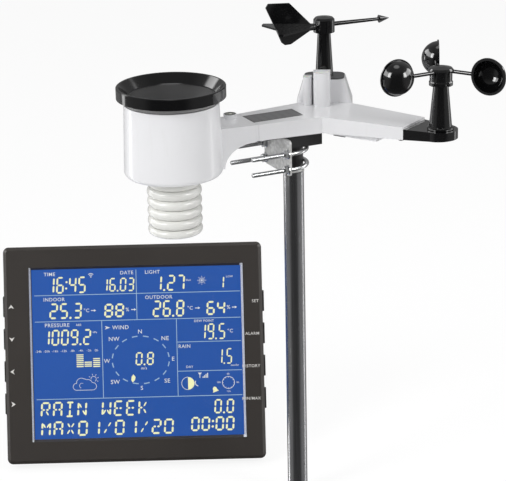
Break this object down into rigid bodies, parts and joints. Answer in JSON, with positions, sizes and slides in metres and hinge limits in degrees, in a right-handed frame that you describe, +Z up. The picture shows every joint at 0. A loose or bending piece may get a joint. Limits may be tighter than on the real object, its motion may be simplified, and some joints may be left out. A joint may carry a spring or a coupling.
{
  "type": "home weather station",
  "caption": "Outdoor weather sensor array with rain gauge, wind vane, wind cups and light sensors on a mast, with a tilted indoor colour display console.",
  "frame": {"origin": "the mast axis at the floor, where the mast foot stands", "axes": "+Z up along the mast; +X to the right as the console is read; -Y towards the reader"},
  "size_m": [0.4867, 0.2557, 0.4757],
  "materials": {
    "white_plastic": "satin white weatherproof plastic",
    "shield_plastic": "matt off-white plastic",
    "black_gloss": "glossy black plastic",
    "black_plastic": "matt black plastic",
    "grey_plastic": "dark grey plastic",
    "mast_steel": "satin steel tube",
    "zinc_plate": "galvanised steel",
    "zinc_rod": "zinc-plated steel",
    "shaft_steel": "polished steel",
    "solar_cell": "laminated solar cell",
    "diffuser": "translucent white diffuser",
    "level_glass": "grey level window",
    "circuit_board": "green circuit board",
    "cell_wrap": "dark battery jacket",
    "magnet_nickel": "nickel-plated magnet",
    "console_plastic": "dark warm-grey satin plastic",
    "console_window": "clear window",
    "lcd_blue": "backlit blue display",
    "key_plastic": "dark grey keys"
  },
  "bodies": {
    "array": {"array_cells": "cell_wrap", "bracket_plate": "zinc_plate", "bucket_frame": "black_plastic", "bucket_pin": "shaft_steel", "cup_arm_cap": "black_gloss", "cup_sensor_board": "circuit_board", "gauge_housing": "white_plastic", "housing_screws": "shaft_steel", "level_vial": "level_glass", "light_sensor_lens": "diffuser", "lower_housing": "white_plastic", "mast_tube": "mast_steel", "mount_block": "black_plastic", "rain_sensor_board": "circuit_board", "sensor_board": "circuit_board", "shaft_bearings": "shaft_steel", "shield_base": "shield_plastic", "shield_rings": "shield_plastic", "solar_panel": "solar_cell", "temp_humidity_probe": "grey_plastic", "tower_cap": "grey_plastic", "u_bolt_nuts": "zinc_rod", "u_bolt_washers": "zinc_rod", "u_bolts": "zinc_rod", "upper_housing": "white_plastic", "uv_sensor_lens": "diffuser", "vane_pylon": "black_gloss"},
    "vane": {"vane_hub": "black_gloss", "vane_pointer": "black_gloss", "vane_tail": "black_gloss", "vane_shaft": "shaft_steel", "vane_magnet": "magnet_nickel"},
    "cup_rotor": {"cup_hub": "black_gloss", "wind_cups": "black_gloss", "cup_shaft": "shaft_steel", "cup_magnet": "magnet_nickel"},
    "funnel": {"rain_funnel": "black_plastic", "debris_screen": "grey_plastic"},
    "bucket": {"tipping_bucket": "black_plastic", "bucket_magnet": "magnet_nickel"},
    "array_door": {"array_battery_door": "black_plastic"},
    "reset": {"reset_button": "black_plastic"},
    "console": {"console_bezel": "console_plastic", "console_back": "console_plastic", "display_window": "console_window", "lcd_panel": "lcd_blue", "console_board": "circuit_board", "console_cells": "cell_wrap", "console_screws": "shaft_steel", "power_jack": "black_plastic"},
    "stand": {"console_stand": "key_plastic"},
    "console_door": {"console_battery_door": "console_plastic"},
    "key_left_1": {"console_button_left_1": "key_plastic"},
    "key_left_2": {"console_button_left_2": "key_plastic"},
    "key_left_3": {"console_button_left_3": "key_plastic"},
    "key_left_4": {"console_button_left_4": "key_plastic"},
    "key_right_1": {"console_button_right_1": "key_plastic"},
    "key_right_2": {"console_button_right_2": "key_plastic"},
    "key_right_3": {"console_button_right_3": "key_plastic"},
    "key_right_4": {"console_button_right_4": "key_plastic"}
  },
  "joints": [
    {"name": "vane_spin", "type": "hinge", "parent": "array", "child": "vane", "pos_m": [0.02728, 0.04425, 0.444], "axis": [0, 0, 1], "continuous": true},
    {"name": "cup_spin", "type": "hinge", "parent": "array", "child": "cup_rotor", "pos_m": [0.13276, -0.04515, 0.418], "axis": [0, 0, 1], "continuous": true},
    {"name": "funnel_lift", "type": "slide", "parent": "array", "child": "funnel", "axis": [0, 0, 1], "range_m": [0, 0.08]},
    {"name": "bucket_tip", "type": "hinge", "parent": "array", "child": "bucket", "pos_m": [-0.10332, -0.05965, 0.353], "axis": [0.5, -0.866, 0], "range_deg": [-14, 14]},
    {"name": "array_door_lift", "type": "slide", "parent": "array", "child": "array_door", "axis": [0, 0, -1], "range_m": [0, 0.03]},
    {"name": "reset_press", "type": "slide", "parent": "array", "child": "reset", "axis": [0, 0, 1], "range_m": [0, 0.0008], "stiffness_N_per_m": 600},
    {"name": "console_lift", "type": "slide", "parent": "array", "child": "console", "axis": [0, 0, 1], "range_m": [0, 0.06]},
    {"name": "stand_fold", "type": "hinge", "parent": "console", "child": "stand", "pos_m": [-0.16689, 0.09425, 0.0905], "axis": [0.996, 0.0889, 0], "range_deg": [-29.34, 0]},
    {"name": "console_door_slide", "type": "slide", "parent": "console", "child": "console_door", "axis": [-0.0837, 0.9383, -0.3354], "range_m": [0, 0.03]},
    {"name": "key_left_1_press", "type": "slide", "parent": "console", "child": "key_left_1", "axis": [0.996, 0.0889, 0], "range_m": [0, 0.0008], "stiffness_N_per_m": 700},
    {"name": "key_left_2_press", "type": "slide", "parent": "console", "child": "key_left_2", "axis": [0.996, 0.0889, 0], "range_m": [0, 0.0008], "stiffness_N_per_m": 700},
    {"name": "key_left_3_press", "type": "slide", "parent": "console", "child": "key_left_3", "axis": [0.996, 0.0889, 0], "range_m": [0, 0.0008], "stiffness_N_per_m": 700},
    {"name": "key_left_4_press", "type": "slide", "parent": "console", "child": "key_left_4", "axis": [0.996, 0.0889, 0], "range_m": [0, 0.0008], "stiffness_N_per_m": 700},
    {"name": "key_right_1_press", "type": "slide", "parent": "console", "child": "key_right_1", "axis": [-0.996, -0.0889, 0], "range_m": [0, 0.0008], "stiffness_N_per_m": 700},
    {"name": "key_right_2_press", "type": "slide", "parent": "console", "child": "key_right_2", "axis": [-0.996, -0.0889, 0], "range_m": [0, 0.0008], "stiffness_N_per_m": 700},
    {"name": "key_right_3_press", "type": "slide", "parent": "console", "child": "key_right_3", "axis": [-0.996, -0.0889, 0], "range_m": [0, 0.0008], "stiffness_N_per_m": 700},
    {"name": "key_right_4_press", "type": "slide", "parent": "console", "child": "key_right_4", "axis": [-0.996, -0.0889, 0], "range_m": [0, 0.0008], "stiffness_N_per_m": 700}
  ]
}
